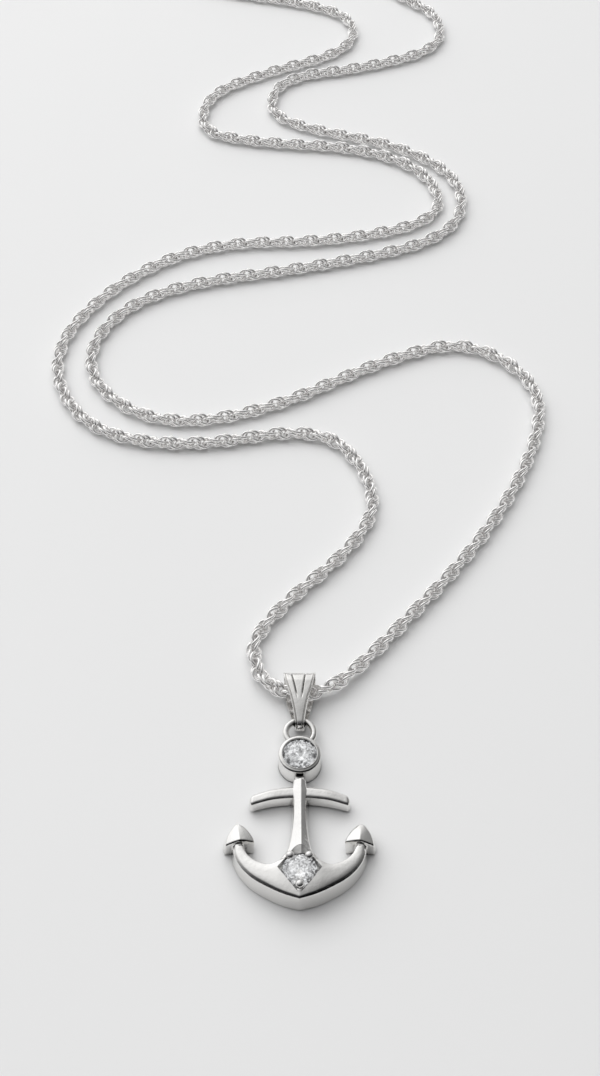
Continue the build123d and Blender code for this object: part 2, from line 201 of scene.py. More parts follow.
# Matte white board: soft grain, and a little uneven so that it doesn't look like plastic.
def paleBoard(name, look):
    material = newMaterial(name)
    place = addNode(material, "TexCoord").outputs["Object"]
    cloud = addNode(
        material, "TexNoise", {"Scale": 1 / (look["cloud"] * mm), "Detail": 2.0}, {"Vector": place}
    )
    grain = addNode(
        material, "TexNoise", {"Scale": 1 / (look["grain"] * mm), "Detail": 3.0}, {"Vector": place}
    )
    tone = addNode(
        material, "Mix", {"data_type": "RGBA", 6: linear(look["dark"]), 7: linear(look["light"])},
        {0: cloud.outputs[0]},
    )
    bump = addNode(
        material, "Bump", {"Strength": look["bump"], "Distance": look["relief"] * mm},
        {"Height": grain.outputs[0]},
    )
    shader = addNode(
        material, "BsdfPrincipled", {"Roughness": look["roughness"]},
        {"Base Color": tone.outputs[2], "Normal": bump.outputs[0]},
    )
    return finishMaterial(material, shader)


castLook = {
    "colour": "#EFEEEC",
    # tarnish with painted shade, darker than tarnish alone
    "tarnishAndShade": "#333132",
    "ripple": 0.5,  # the size of the orange-peel ripple, and how strong and how deep it is
    "bump": 1.15,
    "relief": 0.02,
    "marks": 0.35,  # the size of the wiping marks, and the roughness between and in them
    "smooth": 0.08,
    "rough": 0.17,
    "reach": 0.7,  # a hollow as narrow as this holds tarnish and painted shade
    "deep": 0.32,  # it is all tarnish and painted shade with this much open sky over it, and bare with this much
    "bare": 0.72,
}
beadLook = {
    **castLook,
    "colour": "#FCFBFA",
    "tarnishAndShade": "#8E8C8B",
    "ripple": 0.3,
    "bump": 0.15,
    "smooth": 0.18,
    "rough": 0.3,
    "reach": 0.12,
}
wireLook = {
    "colour": "#FDFCFB",
    "tarnishAndShade": "#C8C6C5",
    "marks": 0.25,
    "smooth": 0.15,
    "rough": 0.27,
    "deep": 0.15,  # all tarnish and painted shade this near the rope's middle line, and bare this far from it
    "bare": 0.65,
    "haze": 0.11,  # the pale glare that the room lays over fine bright wire
}
stoneLook = {
    "colour": "#FAFBFC",
    # the colour of the painted dark chips, painted shade in the rim's sparkle
    "dark": "#403F41",
    "paintedChip": 0.21,  # the size of a painted sparkle chip, drawn coarse enough to show
    "dull": 0.35,  # the painted chips below this are dark, and those above the next are clear and bright
    "bright": 0.65,
    "paintedGlow": 0.03,  # the painted glow that a dark chip and a clear chip give off
    "paintedSpark": 0.2,
    "ior": 2.15,
    "roughness": 0.0,
}
castSilver = polishedSilver("cast_silver_polished", castLook)
beadSilver = polishedSilver("bead_silver_burnished", beadLook)
ropeSilver = wireSilver("rope_silver_drawn_wire", wireLook)
stoneClear = clearStone("cubic_zirconia_clear", stoneLook)
print("materials made")


def newPiece(name, points, faces, material):  # a smooth mesh object, its points given in millimetres
    mesh = bpy.data.meshes.new(name)
    mesh.from_pydata([tuple(p) for p in points], [], faces)
    mesh.polygons.foreach_set("use_smooth", [True] * len(mesh.polygons))
    mesh.update()
    piece = bpy.data.objects.new(name, mesh)
    piece.data.materials.append(material)
    scene.collection.objects.link(piece)
    return piece


def toMetres(piece):
    piece.data.transform(Matrix.Scale(mm, 4))
    piece.data.update()


def keepModifiers(piece):  # the piece keeps its modifiers' result as its own mesh
    graph = bpy.context.evaluated_depsgraph_get()
    mesh = bpy.data.meshes.new_from_object(piece.evaluated_get(graph))
    piece.modifiers.clear()
    piece.data = mesh


repair = {
    "weld": 0.002,  # points as near as this become one
    "scrap": 100,  # a loose scrap has fewer faces than this
}


def cleanUp(piece):  # no doubled points, slivers or loose scraps, and every face turned outwards
    mesh = bmesh.new()
    mesh.from_mesh(piece.data)
    bmesh.ops.remove_doubles(mesh, verts=mesh.verts, dist=repair["weld"])
    bmesh.ops.dissolve_degenerate(mesh, edges=mesh.edges, dist=repair["weld"])
    seen = set()
    scraps = []
    for first in mesh.faces:
        if first in seen:
            continue
        seen.add(first)
        island = [first]
        for face in island:  # the island grows while it is walked through
            for edge in face.edges:
                for other in edge.link_faces:
                    if other not in seen:
                        seen.add(other)
                        island.append(other)
        if len(island) < repair["scrap"]:
            scraps += island
    bmesh.ops.delete(mesh, geom=scraps, context="FACES")
    bmesh.ops.delete(mesh, geom=[edge for edge in mesh.edges if not edge.link_faces], context="EDGES")
    bmesh.ops.recalc_face_normals(mesh, faces=mesh.faces)
    mesh.to_mesh(piece.data)
    mesh.free()


def stand(piece, slot, *nodes):  # the piece rides on the frame and stands for these CAD nodes
    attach(piece, "root")
    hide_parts(*nodes)


def skin(rings, closed=False):  # points and faces over rings of points, with flat caps unless closed
    count = len(rings)
    size = len(rings[0])
    points = [p for ring in rings for p in ring]
    faces = []
    for i in range(count if closed else count - 1):
        a, b = i * size, (i + 1) % count * size
        faces += [(a + j, a + (j + 1) % size, b + (j + 1) % size, b + j) for j in range(size)]
    if not closed:
        faces.append(tuple(range(size - 1, -1, -1)))
        faces.append(tuple(range(size * (count - 1), size * count)))
    return points, faces


def joined(parts):  # several skins as one list of points and one of faces
    points, faces = [], []
    for partPoints, partFaces in parts:
        start = len(points)
        points += partPoints
        faces += [tuple(i + start for i in face) for face in partFaces]
    return points, faces


def eased(rows, steps):  # a smooth curve through rows of numbers, with this many steps a row
    rows = np.array(rows, float)
    before = np.vstack([2 * rows[0] - rows[1], rows[:-1]])
    after = np.vstack([rows[1:], 2 * rows[-1] - rows[-2]])
    slopes = (after - before) / 2
    out = []
    for i in range(len(rows) - 1):
        for step in range(steps):
            t = step / steps
            out.append(
                (2 * t**3 - 3 * t**2 + 1) * rows[i] + (t**3 - 2 * t**2 + t) * slopes[i]
                + (3 * t**2 - 2 * t**3) * rows[i + 1] + (t**3 - t**2) * slopes[i + 1]
            )
    out.append(rows[-1])
    return np.array(out)


def mixed(value, low, high):  # 0 below low, 1 above high, and smooth between
    t = min(max((value - low) / (high - low), 0.0), 1.0)
    return t * t * (3 - 2 * t)


def bell(distance, width):  # 1 at no distance, and next to nothing two widths away
    return math.exp(-((distance / width) ** 2))


# The rope chain. Its route repeats part.py's points.
rope = {
    "seat": 21.405,  # where the rope lies in the bail, up from the crown stone
    "height": 0.895,
    "bailLift": 0.58,
    "claspLift": 0.625,
    "claspReach": 3.15,  # from the clasp's middle to the rope's end in its socket
    "fineness": 24,  # steps of the route's curve from point to point
    "seam": 0.55,  # how far right of the middle the rope's two halves meet in the bail
    "ring": 0.788,  # a link's radius to the middle of its wire
    "oval": 0.119,  # by what share of it the ring is longer and narrower
    "sag": 0.257,  # and by what share it is bent like a saddle
    "tilt": 0.041,  # how the ring leans and turns against the rope's line, in radians
    "roll": 0.406,
    "aside": 0.001,  # and how far it lies off that line
    "turn": 144.0,  # degrees from link to link: five links to each half turn of the rope
    "step": 0.684,  # from link to link along the rope
    "wire": 0.33,
    "segments": 28,  # round the ring
    "sides": 8,  # round the wire
}
route = (  # across, along from the seat, lift
    (-14.5, 161.3, rope["claspLift"]), (-20.8, 155.8, 0), (-20.0, 148.1, 0), (-13.0, 144.5, 0),
    (1.6, 140.8, 0), (9.2, 136.0, 0), (8.2, 126.4, 0), (-5.6, 120.0, 0),
    (-14.6, 113.8, 0), (-15.4, 104.0, 0), (-6.5, 101.2, 0), (10.2, 99.7, 0),
    (19.6, 93.2, 0), (20.7, 82.5, 0), (5.5, 77.5, 0), (-13.5, 77.2, 0),
    (-26.3, 67.6, 0), (-33.3, 53.8, 0), (-27.5, 40.4, 0), (-14.5, 37.0, 0),
    (2.5, 41.0, 0), (8.6, 33.2, 0), (8.8, 23.6, 0), (-5.3, 9.2, 0),
    (-4.9, 2.9, 0.45 * rope["bailLift"]), (-1.9, 0.0, rope["bailLift"]),
    (3.0, 0.0, rope["bailLift"]), (8.8, 6.5, 0), (21.5, 22.0, 0), (29.4, 37.0, 0),
    (31.2, 48.6, 0), (22.5, 57.0, 0), (11.3, 53.3, 0), (-4.6, 43.3, 0),
    (-18.0, 41.0, 0), (-27.3, 48.6, 0), (-27.5, 58.6, 0), (-19.0, 67.8, 0),
    (4.5, 72.4, 0), (21.8, 78.4, 0), (24.6, 90.6, 0), (16.5, 100.0, 0),
    (-1.6, 105.6, 0), (-5.2, 111.2, 0), (-2.2, 118.8, 0), (10.6, 121.5, 0),
    (22.9, 127.0, 0), (23.4, 137.2, 0), (17.0, 143.1, 0), (10.8, 151.1, 0),
    (7.6, 158.6, 0), (2.5, 162.8, rope["claspLift"]),
)


def ropeLine():  # the route's smooth line, read from its NURBS spline
    points = [Vector((x, rope["seat"] + y, rope["height"] + lift)) for x, y, lift in route]
    middle = (points[0] + points[-1]) / 2
    inward = (points[0] - middle).normalized() * rope["claspReach"]
    points = [middle + inward] + points + [middle - inward]
    curve = bpy.data.curves.new("rope_route", "CURVE")
    curve.dimensions = "3D"
    curve.resolution_u = rope["fineness"]
    spline = curve.splines.new("NURBS")
    spline.points.add(len(points) - 1)
    for i, p in enumerate(points):
        spline.points[i].co = (*p, 1)
    spline.order_u = 3
    spline.use_endpoint_u = True
    holder = bpy.data.objects.new("rope_route", curve)
    scene.collection.objects.link(holder)
    graph = bpy.context.evaluated_depsgraph_get()
    mesh = bpy.data.meshes.new_from_object(holder.evaluated_get(graph))
    line = np.array([v.co for v in mesh.vertices], float)
    bpy.data.objects.remove(holder)
    return line


def carried(line):  # the line's length, its direction and two sideways directions that don't twist
    run = np.diff(line, axis=0)
    length = np.concatenate([[0], np.cumsum(np.linalg.norm(run, axis=1))])
    ahead = np.gradient(line, axis=0)
    ahead /= np.linalg.norm(ahead, axis=1)[:, None]
    side = np.zeros_like(line)
    side[0] = np.cross((0, 0, 1), ahead[0])
    for i in range(1, len(line)):
        side[i] = side[i - 1] - ahead[i] * side[i - 1].dot(ahead[i])
        side[i] /= np.linalg.norm(side[i])
    return length, ahead, side, np.cross(ahead, side)


def turned(points, axis, angle):
    return points @ np.array(Matrix.Rotation(angle, 3, axis)).T


def linkPoints(number):  # one link round the x axis: an oval ring of wire, turned on from the link before
    angle = np.linspace(0, 2 * math.pi, rope["segments"], endpoint=False)
    size = rope["ring"]
    ring = np.stack(
        [
            size * (1 + rope["oval"]) * np.cos(angle),
            size * (1 - rope["oval"]) * np.sin(angle),
            size * rope["sag"] * np.cos(2 * angle),
        ], 1,
    )
    ring = turned(turned(ring, "Y", rope["tilt"]), "Z", rope["roll"]) + (0, rope["aside"], 0)
    ring = turned(ring, "X", math.radians(rope["turn"]) * number)
    ahead = np.roll(ring, -1, 0) - np.roll(ring, 1, 0)
    ahead /= np.linalg.norm(ahead, axis=1)[:, None]
    out = ring - ring.mean(0)
    out -= ahead * (out * ahead).sum(1)[:, None]
    out /= np.linalg.norm(out, axis=1)[:, None]
    up = np.cross(ahead, out)
    around = np.linspace(0, 2 * math.pi, rope["sides"], endpoint=False)[None, :, None]
    wire = out[:, None] * np.cos(around) + up[:, None] * np.sin(around)
    return (ring[:, None] + wire * rope["wire"] / 2).reshape(-1, 3)


def linkFaces():
    segments, sides = rope["segments"], rope["sides"]
    faces = []
    for i in range(segments):
        a, b = i * sides, (i + 1) % segments * sides
        faces += [(a + j, a + (j + 1) % sides, b + (j + 1) % sides, b + j) for j in range(sides)]
    return np.array(faces)


def makeRopes():
    line = ropeLine()
    length, ahead, side, up = carried(line)
    total = int(length[-1] / rope["step"])
    meeting = (rope["seam"], rope["seat"], rope["height"] + rope["bailLift"])
    nearest = np.argmin(np.linalg.norm(line - meeting, axis=1))
    middle = int(length[nearest] / rope["step"])
    parts = (
        ("rope_links_left_far", 0, middle // 2, "rope_chain_left"),
        ("rope_links_left_near", middle // 2, middle, "rope_chain_left"),
        ("rope_links_right_near", middle, (middle + total) // 2, "rope_chain_right"),
        ("rope_links_right_far", (middle + total) // 2, total, "rope_chain_right"),
    )
    oneLink = linkFaces()
    for name, start, end, node in parts:
        points, faces, depth = [], [], []
        for number in range(start, end):
            local = linkPoints(number)
            where = (number + 0.5) * rope["step"]
            centre, x, y, z = (
                np.array([np.interp(where, length, column[:, i]) for i in range(3)])
                for column in (line, ahead, side, up)
            )
            points.append(centre + local[:, :1] * x + local[:, 1:2] * y + local[:, 2:] * z)
            faces.append(oneLink + (number - start) * len(local))
            # each point's distance from the rope's middle line, which the painted shade follows
            depth.append(np.hypot(local[:, 1], local[:, 2]))
        piece = newPiece(name, np.concatenate(points), np.concatenate(faces).tolist(), ropeSilver)
        shade = piece.data.attributes.new("depth", "FLOAT", "POINT")
        shade.data.foreach_set("value", np.concatenate(depth))
        toMetres(piece)
        stand(piece, "rope_silver", node)
    print("rope links", total)


makeRopes()

# The cast body: arms, shank, neck and flukes melted into one skin, and the crown stone's pocket cut in.
body = {
    "voxel": 0.062,
    "soften": 2,  # rounds of smoothing after the melt, and how strong each is
    "softenBy": 0.5,
    "crease": 30.0,  # an edge sharper than this many degrees shows as an edge
    "draft": 0.14,  # the arms' inner walls lean out by this much at the back
    "innerStep": 0.2,  # and end this far under the dome
    "fullness": 2.8,  # the dome's section: more is flatter on top
    "columns": 24,
    "flank": 0.22,  # the steep strip between the dome and the outer wall, its width and its drop
    "drop": 0.22,
    "swell": 0.3,  # by what share it widens half-way along each arm
    "armReach": 6.6,  # from the middle to an arm's end
    "armSteps": 8,
    "arms": (  # inner edge x y, outer edge x y, edge height, dome height, how far the outer wall leans out
        (0.00, 1.88, 0.00, -3.32, 2.82, 3.03, -0.01),
        (1.89, 0.96, 1.66, -2.71, 2.72, 2.92, 0.16),
        (2.95, 0.53, 3.08, -1.96, 2.60, 2.76, 0.23),
        (4.00, 0.80, 4.64, -0.94, 2.46, 2.59, 0.23),
        (4.80, 1.33, 5.76, 0.21, 2.34, 2.45, 0.18),
        (5.30, 1.95, 6.43, 1.41, 2.24, 2.35, 0.17),
        (5.60, 2.68, 6.66, 2.54, 2.16, 2.27, 0.21),
        (5.70, 3.30, 6.68, 3.20, 2.10, 2.20, 0.22),
    ),
    "ridge": 0.15,  # the shank's ridge lies this far right of its middle
    "flare": 0.27,  # its walls lean out by this much at the back
    "brim": 0.06,  # the bevel between its roof and its walls, its width and its drop
    "brimDrop": 0.15,
    "shankSteps": 6,
    "shank": (  # y, half width, edge height, ridge height
        (0.90, 2.00, 2.60, 3.10),
        (2.00, 1.30, 2.38, 3.03),
        (3.19, 0.98, 2.20, 2.78),
        (4.48, 0.80, 2.11, 2.57),
        (5.68, 0.69, 2.09, 2.47),
        (7.07, 0.63, 2.05, 2.38),
        (8.10, 0.66, 2.02, 2.35),
        (8.60, 0.72, 2.01, 2.33),
        (9.00, 0.79, 2.00, 2.32),
        (9.40, 0.74, 1.99, 2.31),
        (9.85, 0.66, 1.98, 2.30),
        (10.40, 0.63, 1.97, 2.28),
    ),
    "neck": (  # two blocks as low and high corner: the lower joins the cup, with a dark slot above it
        ((-0.47, 10.2, 0.0), (0.47, 11.3, 1.1)),
        ((-0.47, 10.2, 0.0), (0.47, 11.0, 1.75)),
    ),
}
fluke = {
    "apex": (6.26, 5.2, 1.95),
    "outer": (7.42, 2.82, 2.1),
    "inner": (4.5, 3.2, 2.1),
    "ridgeFoot": (5.95, 2.95, 2.8),
    "bulge": 0.28,  # how far the sides swell out half-way up, and near the apex
    "round": 0.2,
    "ridgeBulge": 0.12,  # how far the ridge and the two roof facets swell up
    "facetBulge": 0.04,
    "arch": 0.1,  # how far the foot arches up in its middle
    "flank": 0.15,  # the foot's steep strip, its width and its drop
    "drop": 0.17,
    "leanIn": 0.1,  # how far the walls lean out at the back, on the inner and the outer side
    "leanOut": 0.5,
    "tuck": 0.3,  # the lower corners of the foot are drawn in by this much
    "tuckReach": 0.25,  # and up to this share of the height
    "wallDrop": 0.12,  # the bevel between the roof and the walls, its drop and its share of a column
    "bevelShare": 0.3,
    "steps": 20,
    "columns": 6,
}
pocket = {
    "rim": (  # its right half, from the low tip round the corner to the shoulder: x, y and height
        (0.16, -2.48, 2.84), (2.084, -0.098, 2.95), (2.18, 0.03, 2.95), (2.084, 0.158, 2.95),
        (0.96, 1.66, 3.0),
    ),
    "floor": 0.9,
    "bevel": 0.12,
    "archTop": 2.46,  # how far up the sloping facet above the stone reaches
    "archFoot": 0.4,  # and how far down, from the shoulder
    "archShape": 2.4,
    "archDrop": 0.3,  # how much lower it is at the shoulder than at its top
    "archHeight": 2.84,  # the facet's height on the shank's ridge, and its fall to the sides
    "archFall": 0.36,
    "archSteps": 24,
    "clear": 6.0,  # higher than the casting
}


def armRing(row):  # a domed section with a steep strip at its outer edge and walls that lean out
    inner, outer = np.array(row[0:2]), np.array(row[2:4])
    edge, dome, lean = row[4:7]
    across = (outer - inner) / np.linalg.norm(outer - inner)
    widen = 1 + body["swell"] * math.sin(math.pi * min(abs(outer[0]) / body["armReach"], 1))
    brink = outer - across * body["flank"] * widen
    ring = [(*(inner - across * body["draft"]), 0.0), (*inner, edge - body["innerStep"])]
    for i in range(1, body["columns"] + 1):
        t = i / body["columns"]
        flat = inner + (brink - inner) * t
        rise = 1 - abs(2 * t - 1) ** body["fullness"]
        ring.append((*flat, edge + (dome - edge) * rise))
    ring.append((*outer, edge - body["drop"] * widen))
    ring.append((*(outer + across * lean), 0.0))
    return ring


def armSkin():
    right = eased(body["arms"], body["armSteps"])
    left = right[:0:-1] * (-1, 1, -1, 1, 1, 1, 1)
    return skin([armRing(row) for row in np.vstack([left, right])])


def shankSkin():
    rings = []
    for y, half, edge, top in eased(body["shank"], body["shankSteps"]):
        back = half + body["flare"]
        brim = half - body["brim"]
        wall = edge - body["brimDrop"]
        rings.append([
            (-back, y, 0), (back, y, 0), (half, y, wall), (brim, y, edge), (body["ridge"], y, top),
            (-brim, y, edge), (-half, y, wall),
        ])
    return skin(rings)


def boxSkin(low, high):
    x0, y0, z0 = low
    x1, y1, z1 = high
    return skin([[(x0, y, z0), (x1, y, z0), (x1, y, z1), (x0, y, z1)] for y in (y0, y1)])


def flukeSkin(side):  # bulging sides and two roof facets that meet in a ridge over an arched foot
    apex, outer, inner, foot = (Vector(fluke[key]) for key in ("apex", "outer", "inner", "ridgeFoot"))
    rightOut = Vector((apex.y - outer.y, outer.x - apex.x, 0)).normalized()
    leftOut = Vector((inner.y - apex.y, apex.x - inner.x, 0)).normalized()
    steps, columns = fluke["steps"], fluke["columns"]
    rings = []
    for i in range(-1, steps + 1):
        t = max(i, 0) / steps
        swell = 4 * fluke["bulge"] * t * (1 - t) + fluke["round"] * t**3 * math.sqrt(max(1 - t**6, 0))
        right = outer.lerp(apex, t) + rightOut * swell
        left = inner.lerp(apex, t) + leftOut * swell
        top = foot.lerp(apex, t)
        top.z += fluke["ridgeBulge"] * math.sin(math.pi * t)
        roof = [left.lerp(top, j / columns) for j in range(columns + 1)]
        roof += [top.lerp(right, j / columns) for j in range(1, columns + 1)]
        arch = fluke["arch"] * (1 - t) ** 3
        for j, p in enumerate(roof):
            p.y += arch * math.sin(math.pi * j / (2 * columns))
            p.z += fluke["facetBulge"] * math.sin(math.pi * (j % columns) / columns)
        if i < 0:  # the foot's steep strip
            for p in roof:
                p.y -= fluke["flank"]
                p.z -= fluke["drop"]
        leftTop = Vector((left.x, left.y, roof[0].z - fluke["wallDrop"]))
        roof[0] = roof[0].lerp(roof[1], fluke["bevelShare"])
        roof[-1] = roof[-1].lerp(roof[-2], fluke["bevelShare"])
        rightTop = Vector((right.x, right.y, roof[-1].z - fluke["wallDrop"]))
        pull = fluke["tuck"] * max(1 - t / fluke["tuckReach"], 0) ** 2
        leftBack = Vector((left.x, left.y, 0)) + leftOut * (fluke["leanIn"] - pull)
        rightBack = Vector((right.x, right.y, 0)) + rightOut * (fluke["leanOut"] - pull)
        if i < 0:
            for p in (leftBack, leftTop, rightTop, rightBack):
                p.y -= fluke["flank"]
        ring = [leftBack, leftTop, *roof, rightTop, rightBack]
        rings.append([(side * p.x, p.y, p.z) for p in ring])
    if side < 0:
        rings = [ring[::-1] for ring in rings]
    return skin(rings)


def pocketCutter():  # the kite-shaped pocket, its rim bevelled by walls that lean out at the top
    half = pocket["rim"]
    floor, edge, above = [], [], []
    for x, y, z in half + tuple((-x, y, z) for x, y, z in half[::-1]):
        out = Vector((x, y, 0)) + Vector((x, y, 0)).normalized()
        floor.append((x, y, pocket["floor"]))
        edge.append((x, y, z - pocket["bevel"]))
        above.append((out.x, out.y, z - pocket["bevel"] + 1))
    return skin([floor, edge, above])


def archCutter():  # the sloping facet above the stone, its curved upper edge following the shank's roof
    wide, shoulder = pocket["rim"][-1][:2]
    rise = pocket["archTop"] - shoulder
    slope = pocket["archDrop"] / rise
    foot = shoulder - pocket["archFoot"]
    clear = pocket["clear"]
    rings = []
    for i in range(pocket["archSteps"] + 1):
        x = wide * (2 * i / pocket["archSteps"] - 1)
        edge = shoulder + rise * (1 - abs(x / wide) ** pocket["archShape"])
        roof = pocket["archHeight"] - pocket["archFall"] * abs(x - body["ridge"])
        low = roof - slope * (edge - foot)
        rings.append([(x, foot, low), (x, edge, roof), (x, edge, clear), (x, foot, clear)])
    return skin(rings)


def cut(piece, cutter):
    tool = newPiece("cutter", *cutter, castSilver)
    tool.data.validate()
    step = piece.modifiers.new("cut", "BOOLEAN")
    step.operation = "DIFFERENCE"
    step.solver = "EXACT"
    step.object = tool
    keepModifiers(piece)
    bpy.data.objects.remove(tool)


def makeBody():
    parts = [armSkin(), shankSkin(), flukeSkin(1), flukeSkin(-1)]
    parts += [boxSkin(low, high) for low, high in body["neck"]]
    piece = newPiece("anchor_cast_body", *joined(parts), castSilver)
    remesh = piece.modifiers.new("melt", "REMESH")
    remesh.mode = "VOXEL"
    remesh.voxel_size = body["voxel"]
    remesh.use_smooth_shade = True
    soften = piece.modifiers.new("soften", "SMOOTH")
    soften.factor = body["softenBy"]
    soften.iterations = body["soften"]
    keepModifiers(piece)
    cut(piece, pocketCutter())
    cut(piece, archCutter())
    cleanUp(piece)
    piece.data.set_sharp_from_angle(angle=math.radians(body["crease"]))
    print("cast body faces", len(piece.data.polygons))
    toMetres(piece)
    stand(piece, "polished_silver", "anchor")


makeBody()

stock = {
    "half": 5.15,
    "y": 8.98,
    "bow": 0.95,  # its ends lie this much lower than its middle
    "width": 1.34,
    "endWidth": 1.14,
    "low": 0.35,
    "height": 2.0,
    "endFall": 0.2,  # its top falls by this much to its ends
    "tip": 0.46,  # the rounded ends' length, how full they are, and how far and how suddenly they fall
    "tipShape": 2.6,
    "tipFall": 0.3,
    "tipCurve": 2.5,
    "blunt": 0.0004,  # keeps the tip from closing to a line
    "flank": 0.13,  # the steep strip along its sides, its width and its drop
    "drop": 0.16,
    "lip": 0.03,  # the small bevel under it, its width and its drop
    "lipDrop": 0.06,
    "dome": 0.1,
    "domeShape": 5,
    "rings": 96,
    "columns": 18,
    "crease": 50.0,
}


def stockSkin():
    rings = []
    for i in range(stock["rings"] + 1):
        x = -stock["half"] * math.cos(math.pi * i / stock["rings"])
        share = abs(x) / stock["half"]
        middle = stock["y"] - stock["bow"] * share**2
        overrun = max(abs(x) - (stock["half"] - stock["tip"]), 0) / stock["tip"]
        narrow = math.sqrt(max(1 - overrun ** stock["tipShape"], stock["blunt"]))
        half = (stock["width"] + (stock["endWidth"] - stock["width"]) * share) / 2 * narrow
        brink = half - stock["flank"] * narrow
        lip = stock["lip"] * narrow
        top = stock["height"] - stock["endFall"] * mixed(share, 0.5, 1.0)
        top -= stock["tipFall"] * overrun ** stock["tipCurve"]
        side = top - stock["drop"]
        wall = side - stock["lipDrop"]
        ring = [(x, middle - half, stock["low"]), (x, middle - half, wall), (x, middle - half + lip, side)]
        for j in range(stock["columns"] + 1):
            t = 2 * j / stock["columns"] - 1
            ring.append((x, middle + brink * t, top - stock["dome"] * abs(t) ** stock["domeShape"]))
        ring += [(x, middle + half - lip, side), (x, middle + half, wall), (x, middle + half, stock["low"])]
        rings.append(ring)
    return skin(rings)


def makeStock():
    piece = newPiece("stock_bar", *stockSkin(), castSilver)
    cleanUp(piece)
    piece.data.set_sharp_from_angle(angle=math.radians(stock["crease"]))
    toMetres(piece)
    stand(piece, "polished_silver", "anchor")
    print("stock made")


makeStock()

bezel = {
    "y": 13.26,
    "around": 96,
    "profile": (  # radius and height, from the hole in the back round the outside to the stone's seat
        (1.00, 0.00), (2.26, 0.00), (2.29, 0.04), (2.22, 0.60), (2.14, 1.20), (2.09, 1.72), (2.07, 1.82),
        (2.11, 1.90), (2.20, 1.95), (2.24, 2.02), (2.25, 2.12), (2.25, 2.24), (2.24, 2.265), (2.145, 2.36),
        (2.12, 2.382), (2.08, 2.398), (1.94, 2.435), (1.90, 2.475), (1.86, 2.50), (1.82, 2.47), (1.79, 2.40),
        (1.79, 2.28), (1.90, 2.02), (1.92, 1.86), (1.84, 1.76), (1.04, 0.86), (1.00, 0.80),
    ),
}


def makeCup():
    rings = []
    for i in range(bezel["around"]):
        angle = 2 * math.pi * i / bezel["around"]
        across, up = math.cos(angle), math.sin(angle)
        rings.append([(r * across, bezel["y"] + r * up, z) for r, z in bezel["profile"]])
    piece = newPiece("bezel_cup", *skin(rings, closed=True), castSilver)
    cleanUp(piece)
    toMetres(piece)
    stand(piece, "polished_silver", "anchor")


makeCup()

loop = {
    "y": 16.5,
    "height": 1.25,
    "radius": 1.5,  # to the middle of its wire
    "wire": 0.36,  # the wire's radius
    "reach": 150,  # degrees each way from its top, down to where it enters the cup
    "steps": 56,
    "sides": 20,
}


def makeLoop():
    rings = []
    for i in range(loop["steps"] + 1):
        angle = math.radians(loop["reach"]) * (2 * i / loop["steps"] - 1)
        ring = []
        for j in range(loop["sides"]):
            around = 2 * math.pi * j / loop["sides"]
            r = loop["radius"] + loop["wire"] * math.cos(around)
            z = loop["height"] + loop["wire"] * math.sin(around)
            ring.append((r * math.sin(angle), loop["y"] + r * math.cos(angle), z))
        rings.append(ring)
    piece = newPiece("bail_loop", *skin(rings), castSilver)
    toMetres(piece)
    stand(piece, "polished_silver", "anchor")


makeLoop()

beads = {
    "places": ((0.95, 1.2, 2.94), (-0.95, 1.2, 2.94), (0.0, -1.84, 2.82)),
    "radius": 0.45,
    "flat": 0.95,
    "tongue": (0.0, -2.32, 2.25, 0.5),  # the metal behind the low bead: place and radius
    "around": 24,
    "rows": 12,
    "pole": 0.0005,  # the smallest ring's radius
}


def ballSkin(centre, radius, flat=1.0):
    rings = []
    for i in range(beads["around"]):
        angle = 2 * math.pi * i / beads["around"]
        ring = []
        for j in range(beads["rows"] + 1):
            up = -math.pi / 2 + math.pi * j / beads["rows"]
            r = max(radius * math.cos(up), beads["pole"])
            z = centre[2] + radius * flat * math.sin(up)
            ring.append((r * math.cos(angle) + centre[0], r * math.sin(angle) + centre[1], z))
        rings.append(ring)
    return skin(rings, closed=True)


def makeBeads():
    balls = [ballSkin(place, beads["radius"], beads["flat"]) for place in beads["places"]]
    balls.append(ballSkin(beads["tongue"][:3], beads["tongue"][3]))
    piece = newPiece("prong_beads", *joined(balls), beadSilver)
    cleanUp(piece)
    toMetres(piece)
    stand(piece, "polished_silver", "anchor")
    print("bezel, loop and beads made")


makeBeads()

bail = {
    "top": (22.225, 1.475),  # the middle of the bend round the rope, as y and z
    "topRadius": 1.295,  # to the middle of the strip's thickness
    "foot": (17.78, 1.25),  # and of the bend through the loop
    "footRadius": 0.70,
    "thick": 0.36,
    "front": (  # y and half width of the front leg, and of the back leg
        (16.8, 0.40), (17.3, 0.48), (18.3, 0.62), (19.4, 0.82), (20.4, 1.05), (21.4, 1.36), (22.4, 1.62),
        (23.2, 1.74), (23.8, 1.76),
    ),
    "back": (
        (16.8, 0.44), (17.6, 0.62), (18.8, 0.95), (20.8, 1.46), (22.2, 1.70), (23.2, 1.74), (23.8, 1.76),
    ),
    "facing": (-0.3, 0.5),  # the front leg's forms fade in as the strip's outside turns up
    "dome": 0.05,
    "belly": 0.2,  # the front leg bulges by this much, from this y on, over this length
    "bellyStart": 17.2,
    "bellyLength": 5.6,
    "bellyShape": 1.5,
    "grooveAt": (20.0, 21.6, 23.4),  # the two long grooves: y, and how far across each lies there
    "leftGroove": (-0.24, -0.56, -1.0),
    "rightGroove": (0.2, 0.4, 0.64),
    "grooveStart": (19.8, 21.0),
    "grooveDepth": 0.17,
    "grooveWidth": 0.07,
    "lineInset": 0.17,  # the fine line beside each edge
    "lineDepth": 0.1,
    "lineWidth": 0.06,
    "ear": 0.16,  # the raised upper corners
    "earWidth": 0.3,
    "earAt": 23.2,
    "earLength": 0.5,
    "brim": (0.93, 1.0),  # the edges fall off between these shares of the half width
    "brimDrop": 0.10,
    "inside": 0.97,  # the inner face's width, as a share of the outer face's
    "bead": (0, 16.98, 1.42, 0.33),  # the small ball at its foot: place and radius
    "arcSteps": 40,
    "along": 170,
    "across": 112,
    "acrossInside": 8,
    "crease": 45.0,
}


